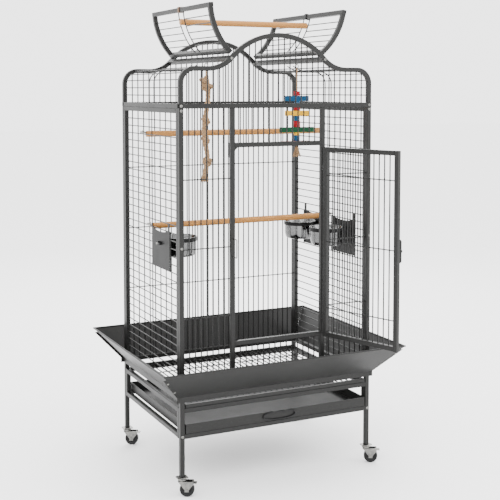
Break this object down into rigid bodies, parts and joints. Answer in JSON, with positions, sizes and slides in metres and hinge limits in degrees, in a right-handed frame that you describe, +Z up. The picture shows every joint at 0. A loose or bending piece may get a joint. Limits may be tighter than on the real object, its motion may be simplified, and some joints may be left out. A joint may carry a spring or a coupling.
{
  "type": "bird cage on stand",
  "caption": "Tall wire bird cage with a domed play top, swing-out feeder bowls, seed skirt and slide-out tray, on a castered stand.",
  "frame": {"origin": "on the floor under the middle of the whole object's box, the front door standing open", "axes": "+Z up, -Y out of the front, +X to the right seen from the front"},
  "size_m": [0.936, 0.996, 1.6659],
  "materials": {
    "charcoal": "hammered powder coat",
    "zinc": "bright zinc",
    "stainless": "polished",
    "black_metal": "satin black",
    "black_plastic": "matte",
    "tyre_black": "matte",
    "pine": "sanded",
    "sisal": "twisted",
    "toy_red": "dyed wood",
    "toy_blue": "dyed wood",
    "toy_yellow": "dyed wood",
    "toy_green": "dyed wood"
  },
  "bodies": {
    "cage": {"stand_front_frame": "charcoal", "stand_rear_frame": "charcoal", "stand_left_frame": "charcoal", "stand_right_frame": "charcoal", "front_panel": "charcoal", "back_panel": "charcoal", "left_panel": "charcoal", "right_panel": "charcoal", "front_arch": "charcoal", "back_arch": "charcoal", "left_shoulder": "charcoal", "right_shoulder": "charcoal", "wing_rails": "charcoal", "toy_eyes": "zinc", "door_strike": "zinc", "perch_lower": "pine", "perch_upper": "pine", "perch_bolts": "zinc", "skirt_front": "charcoal", "skirt_back": "charcoal", "skirt_left": "charcoal", "skirt_right": "charcoal", "caster_plates": "zinc", "screws": "zinc"},
    "tray": {"tray": "charcoal"},
    "tray_handle": {"tray_handle": "black_plastic"},
    "grate": {"grate": "charcoal"},
    "door": {"door": "charcoal"},
    "door_latch": {"door_latch": "black_plastic"},
    "wing_left": {"wing_left": "charcoal"},
    "wing_right": {"wing_right": "charcoal"},
    "perch_top": {"perch_top": "pine"},
    "rope_toy": {"rope_toy_rope": "sisal", "rope_toy_knots": "sisal"},
    "block_toy": {"block_toy_string": "sisal", "block_toy_red": "toy_red", "block_toy_blue": "toy_blue", "block_toy_yellow": "toy_yellow", "block_toy_green": "toy_green"},
    "hatch_left": {"hatch_left": "black_metal"},
    "hatch_left_knob": {"hatch_left_knob": "black_plastic"},
    "bowl_left": {"bowl_left": "stainless"},
    "hatch_right_front": {"hatch_right_front": "black_metal"},
    "hatch_right_front_knob": {"hatch_right_front_knob": "black_plastic"},
    "bowl_right_front": {"bowl_right_front": "stainless"},
    "hatch_right_rear": {"hatch_right_rear": "black_metal"},
    "hatch_right_rear_knob": {"hatch_right_rear_knob": "black_plastic"},
    "bowl_right_rear": {"bowl_right_rear": "stainless"},
    "caster_front_left_fork": {"caster_front_left_fork": "zinc"},
    "caster_front_left_wheel": {"caster_front_left_wheel": "tyre_black"},
    "caster_front_left_brake": {"caster_front_left_brake": "zinc"},
    "caster_front_right_fork": {"caster_front_right_fork": "zinc"},
    "caster_front_right_wheel": {"caster_front_right_wheel": "tyre_black"},
    "caster_front_right_brake": {"caster_front_right_brake": "zinc"},
    "caster_rear_left_fork": {"caster_rear_left_fork": "zinc"},
    "caster_rear_left_wheel": {"caster_rear_left_wheel": "tyre_black"},
    "caster_rear_left_brake": {"caster_rear_left_brake": "zinc"},
    "caster_rear_right_fork": {"caster_rear_right_fork": "zinc"},
    "caster_rear_right_wheel": {"caster_rear_right_wheel": "tyre_black"},
    "caster_rear_right_brake": {"caster_rear_right_brake": "zinc"}
  },
  "joints": [
    {"name": "door_hinge", "type": "hinge", "parent": "cage", "child": "door", "pos_m": [0.171, -0.18364, 0.497], "axis": [0, 0, 1], "range_deg": [-109, 55]},
    {"name": "door_latch_turn", "type": "hinge", "parent": "door", "child": "door_latch", "pos_m": [0.28346, -0.48568, 0.833], "axis": [0.9455, 0.3256, 0], "range_deg": [0, 90]},
    {"name": "wing_left_hinge", "type": "hinge", "parent": "cage", "child": "wing_left", "pos_m": [-0.18145, 0.11396, 1.48915], "axis": [0, 1, 0], "range_deg": [0, 90]},
    {"name": "wing_right_hinge", "type": "hinge", "parent": "cage", "child": "wing_right", "pos_m": [0.18145, 0.11396, 1.48915], "axis": [0, -1, 0], "range_deg": [0, 97]},
    {"name": "perch_top_drop", "type": "slide", "parent": "cage", "child": "perch_top", "axis": [0, 0, -1], "range_m": [0, 0.094]},
    {"name": "tray_slide", "type": "slide", "parent": "cage", "child": "tray", "axis": [0, -1, 0], "range_m": [0, 0.5]},
    {"name": "tray_handle_lift", "type": "hinge", "parent": "tray", "child": "tray_handle", "pos_m": [0, -0.17854, 0.244], "axis": [-1, 0, 0], "range_deg": [0, 85]},
    {"name": "grate_slide", "type": "slide", "parent": "cage", "child": "grate", "axis": [0, -1, 0], "range_m": [0, 0.5]},
    {"name": "hatch_left_hinge", "type": "hinge", "parent": "cage", "child": "hatch_left", "pos_m": [-0.365, 0.09996, 0.752], "axis": [0, 0, -1], "range_deg": [0, 95]},
    {"name": "hatch_left_knob_turn", "type": "hinge", "parent": "hatch_left", "child": "hatch_left_knob", "pos_m": [-0.3687, 0.02096, 0.836], "axis": [-1, 0, 0], "continuous": true},
    {"name": "bowl_left_lift", "type": "slide", "parent": "hatch_left", "child": "bowl_left", "axis": [0, 0, 1], "range_m": [0, 0.06]},
    {"name": "hatch_right_front_hinge", "type": "hinge", "parent": "cage", "child": "hatch_right_front", "pos_m": [0.365, 0.08996, 0.752], "axis": [0, 0, 1], "range_deg": [0, 95]},
    {"name": "hatch_right_front_knob_turn", "type": "hinge", "parent": "hatch_right_front", "child": "hatch_right_front_knob", "pos_m": [0.3687, 0.01096, 0.836], "axis": [1, 0, 0], "continuous": true},
    {"name": "bowl_right_front_lift", "type": "slide", "parent": "hatch_right_front", "child": "bowl_right_front", "axis": [0, 0, 1], "range_m": [0, 0.06]},
    {"name": "hatch_right_rear_hinge", "type": "hinge", "parent": "cage", "child": "hatch_right_rear", "pos_m": [0.365, 0.13796, 0.752], "axis": [0, 0, -1], "range_deg": [0, 95]},
    {"name": "hatch_right_rear_knob_turn", "type": "hinge", "parent": "hatch_right_rear", "child": "hatch_right_rear_knob", "pos_m": [0.3687, 0.21696, 0.836], "axis": [1, 0, 0], "continuous": true},
    {"name": "bowl_right_rear_lift", "type": "slide", "parent": "hatch_right_rear", "child": "bowl_right_rear", "axis": [0, 0, 1], "range_m": [0, 0.06]},
    {"name": "caster_front_left_swivel", "type": "hinge", "parent": "cage", "child": "caster_front_left_fork", "pos_m": [-0.365, -0.16704, 0.066], "axis": [0, 0, 1], "continuous": true},
    {"name": "caster_front_left_roll", "type": "hinge", "parent": "caster_front_left_fork", "child": "caster_front_left_wheel", "pos_m": [-0.35, -0.17605, 0.025], "axis": [0.515, 0.8572, 0], "continuous": true},
    {"name": "caster_front_left_brake_press", "type": "hinge", "parent": "caster_front_left_fork", "child": "caster_front_left_brake", "pos_m": [-0.33457, -0.18532, 0.048], "axis": [0.515, 0.8572, 0], "range_deg": [0, 14]},
    {"name": "caster_front_right_swivel", "type": "hinge", "parent": "cage", "child": "caster_front_right_fork", "pos_m": [0.365, -0.16704, 0.066], "axis": [0, 0, 1], "continuous": true},
    {"name": "caster_front_right_roll", "type": "hinge", "parent": "caster_front_right_fork", "child": "caster_front_right_wheel", "pos_m": [0.38, -0.17605, 0.025], "axis": [0.515, 0.8572, 0], "continuous": true},
    {"name": "caster_front_right_brake_press", "type": "hinge", "parent": "caster_front_right_fork", "child": "caster_front_right_brake", "pos_m": [0.39543, -0.18532, 0.048], "axis": [0.515, 0.8572, 0], "range_deg": [0, 14]},
    {"name": "caster_rear_left_swivel", "type": "hinge", "parent": "cage", "child": "caster_rear_left_fork", "pos_m": [-0.365, 0.39496, 0.066], "axis": [0, 0, 1], "continuous": true},
    {"name": "caster_rear_left_roll", "type": "hinge", "parent": "caster_rear_left_fork", "child": "caster_rear_left_wheel", "pos_m": [-0.35, 0.38595, 0.025], "axis": [0.515, 0.8572, 0], "continuous": true},
    {"name": "caster_rear_left_brake_press", "type": "hinge", "parent": "caster_rear_left_fork", "child": "caster_rear_left_brake", "pos_m": [-0.33457, 0.37668, 0.048], "axis": [0.515, 0.8572, 0], "range_deg": [0, 14]},
    {"name": "caster_rear_right_swivel", "type": "hinge", "parent": "cage", "child": "caster_rear_right_fork", "pos_m": [0.365, 0.39496, 0.066], "axis": [0, 0, 1], "continuous": true},
    {"name": "caster_rear_right_roll", "type": "hinge", "parent": "caster_rear_right_fork", "child": "caster_rear_right_wheel", "pos_m": [0.38, 0.38595, 0.025], "axis": [0.515, 0.8572, 0], "continuous": true},
    {"name": "caster_rear_right_brake_press", "type": "hinge", "parent": "caster_rear_right_fork", "child": "caster_rear_right_brake", "pos_m": [0.39543, 0.37668, 0.048], "axis": [0.515, 0.8572, 0], "range_deg": [0, 14]},
    {"name": "rope_toy_swing", "type": "hinge", "parent": "cage", "child": "rope_toy", "pos_m": [-0.18097, 0.04396, 1.45693], "axis": [0, 1, 0], "range_deg": [-8, 8]},
    {"name": "block_toy_swing", "type": "hinge", "parent": "cage", "child": "block_toy", "pos_m": [0.18097, 0.03396, 1.45693], "axis": [0, 1, 0], "range_deg": [-8, 8]}
  ],
  "couplings": [
    {"joint": "wing_right_hinge", "follows": "wing_left_hinge", "ratio": 1.0778},
    {"joint": "perch_top_drop", "follows": "wing_left_hinge", "m_per_rad": 0.059842}
  ]
}
